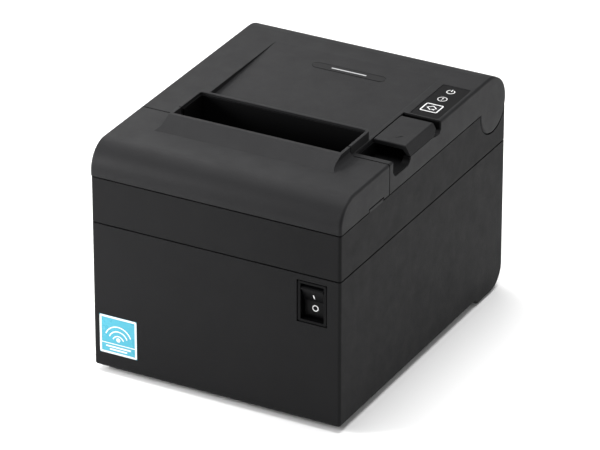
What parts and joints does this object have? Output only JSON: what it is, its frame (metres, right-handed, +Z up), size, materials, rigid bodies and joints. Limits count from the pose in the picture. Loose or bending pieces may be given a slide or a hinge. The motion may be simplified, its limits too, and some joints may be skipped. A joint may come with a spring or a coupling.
{
  "type": "receipt printer",
  "caption": "Desktop thermal receipt printer with a hinged paper cover, release lever, raised paper exit, feed button and a front power switch.",
  "frame": {"origin": "centre of the bounding box's footprint, on the surface the feet stand on", "axes": "+Z up, front of the printer towards -Y, its right side +X"},
  "size_m": [0.133, 0.172, 0.124],
  "materials": {
    "cover_plastic": "fine-grained charcoal moulding",
    "housing_plastic": "fine-grained charcoal moulding",
    "inner_plastic": "matt black moulding",
    "switch_plastic": "glossy black",
    "button_plastic": "satin grey",
    "panel_film": "printed film",
    "lamp_plastic": "smoked clear",
    "badge_insert": "gloss insert",
    "sticker_film": "printed film",
    "steel": "bright steel",
    "zinc_steel": "zinc-plated sheet",
    "blade_steel": "ground steel",
    "heat_sink": "extruded",
    "ceramic": "glazed ceramic",
    "platen_rubber": "ground rubber",
    "foot_rubber": "matt rubber",
    "gear_plastic": "natural acetal",
    "bearing_brass": "plain",
    "board": "solder mask",
    "component_black": "moulded",
    "port_shell": "plated shell"
  },
  "bodies": {
    "base": {"lower_housing": "housing_plastic", "middle_housing": "housing_plastic", "base_plate": "housing_plastic", "rubber_feet": "foot_rubber", "base_screws": "steel", "main_board": "board", "board_parts": "component_black", "board_screws": "steel", "interface_plate": "zinc_steel", "interface_screws": "steel", "dc_inlet": "component_black", "usb_port": "port_shell", "network_port": "port_shell", "drawer_port": "port_shell", "switch_body": "switch_plastic", "front_sticker": "sticker_film", "hinge_pins": "steel", "mechanism_frame": "zinc_steel", "frame_screws": "steel", "feed_motor": "zinc_steel", "idler_axle": "steel", "head_pin": "steel", "cutter_rails": "inner_plastic", "cutter_motor": "zinc_steel", "paper_bucket": "inner_plastic", "near_end_sensor": "component_black", "paper_sensor": "component_black"},
    "cover": {"top_cover": "cover_plastic", "exit_liner": "inner_plastic", "lever_base": "inner_plastic", "lever_pin": "steel", "lever_spring": "steel", "control_panel": "panel_film", "lamp_windows": "lamp_plastic", "panel_board": "board", "feed_switch": "component_black", "badge": "badge_insert", "platen_holder": "inner_plastic", "fixed_blade": "blade_steel", "platen_bearings": "bearing_brass"},
    "front": {"front_cover": "cover_plastic", "tear_bar": "housing_plastic"},
    "lever": {"open_lever": "cover_plastic"},
    "latch_unit": {"latch": "steel"},
    "button": {"feed_button": "button_plastic"},
    "platen": {"platen_roller": "platen_rubber", "platen_shaft": "steel", "platen_gear": "gear_plastic"},
    "idler": {"idler_gear": "gear_plastic"},
    "feed_rotor": {"feed_pinion": "bearing_brass"},
    "print_head": {"head_heatsink": "heat_sink", "thermal_head": "ceramic", "head_springs": "steel"},
    "blade": {"moving_blade": "blade_steel", "blade_carrier": "gear_plastic"},
    "cutter_drive": {"cutter_shaft": "steel", "cutter_pinions": "gear_plastic", "cutter_wheel": "gear_plastic"},
    "cutter_rotor": {"cutter_motor_pinion": "bearing_brass"},
    "rocker": {"switch_rocker": "switch_plastic"}
  },
  "joints": [
    {"name": "cover_hinge", "type": "hinge", "parent": "base", "child": "cover", "pos_m": [0, 0.072, 0.1034], "axis": [-1, 0, 0], "range_deg": [0, 84]},
    {"name": "front_cover_slide", "type": "slide", "parent": "base", "child": "front", "axis": [0, -1, 0], "range_m": [0, 0.008]},
    {"name": "lever_pivot", "type": "hinge", "parent": "cover", "child": "lever", "pos_m": [0.056, 0.0105, 0.113], "axis": [-1, 0, 0], "range_deg": [0, 20], "stiffness_Nm_per_rad": 0.04, "springref_deg": -20.05},
    {"name": "latch_pivot", "type": "hinge", "parent": "cover", "child": "latch_unit", "pos_m": [0, -0.0145, 0.102], "axis": [1, 0, 0], "range_deg": [0, 22.5]},
    {"name": "feed_button_press", "type": "slide", "parent": "cover", "child": "button", "axis": [0, 0, -1], "range_m": [0, 0.0006], "stiffness_N_per_m": 500, "springref_m": -0.0008},
    {"name": "platen_spin", "type": "hinge", "parent": "cover", "child": "platen", "pos_m": [0, -0.0325, 0.096], "axis": [1, 0, 0], "continuous": true},
    {"name": "idler_spin", "type": "hinge", "parent": "base", "child": "idler", "pos_m": [0.0506, -0.0325, 0.0768], "axis": [1, 0, 0], "continuous": true},
    {"name": "feed_motor_spin", "type": "hinge", "parent": "base", "child": "feed_rotor", "pos_m": [0.0506, -0.04565, 0.06365], "axis": [1, 0, 0], "continuous": true},
    {"name": "print_head_pivot", "type": "hinge", "parent": "base", "child": "print_head", "pos_m": [0, -0.0426, 0.084], "axis": [1, 0, 0], "range_deg": [0, 2], "stiffness_Nm_per_rad": 2, "springref_deg": -4.58},
    {"name": "blade_slide", "type": "slide", "parent": "base", "child": "blade", "axis": [0, 1, 0], "range_m": [0, 0.008]},
    {"name": "cutter_spin", "type": "hinge", "parent": "base", "child": "cutter_drive", "pos_m": [0, -0.066, 0.1], "axis": [1, 0, 0], "range_deg": [-92, 0]},
    {"name": "cutter_motor_spin", "type": "hinge", "parent": "base", "child": "cutter_rotor", "pos_m": [0.0375, -0.066, 0.088], "axis": [1, 0, 0], "range_deg": [0, 276]},
    {"name": "switch_rocker_pivot", "type": "hinge", "parent": "base", "child": "rocker", "pos_m": [0.0514, -0.0798, 0.0653], "axis": [-1, 0, 0], "range_deg": [0, 26]}
  ],
  "couplings": [
    {"joint": "latch_pivot", "follows": "lever_pivot", "ratio": 1.1},
    {"joint": "idler_spin", "follows": "platen_spin", "ratio": -0.28},
    {"joint": "feed_motor_spin", "follows": "platen_spin", "ratio": 1.1667},
    {"joint": "cutter_spin", "follows": "blade_slide", "rad_per_m": -200},
    {"joint": "cutter_motor_spin", "follows": "blade_slide", "rad_per_m": 600}
  ]
}
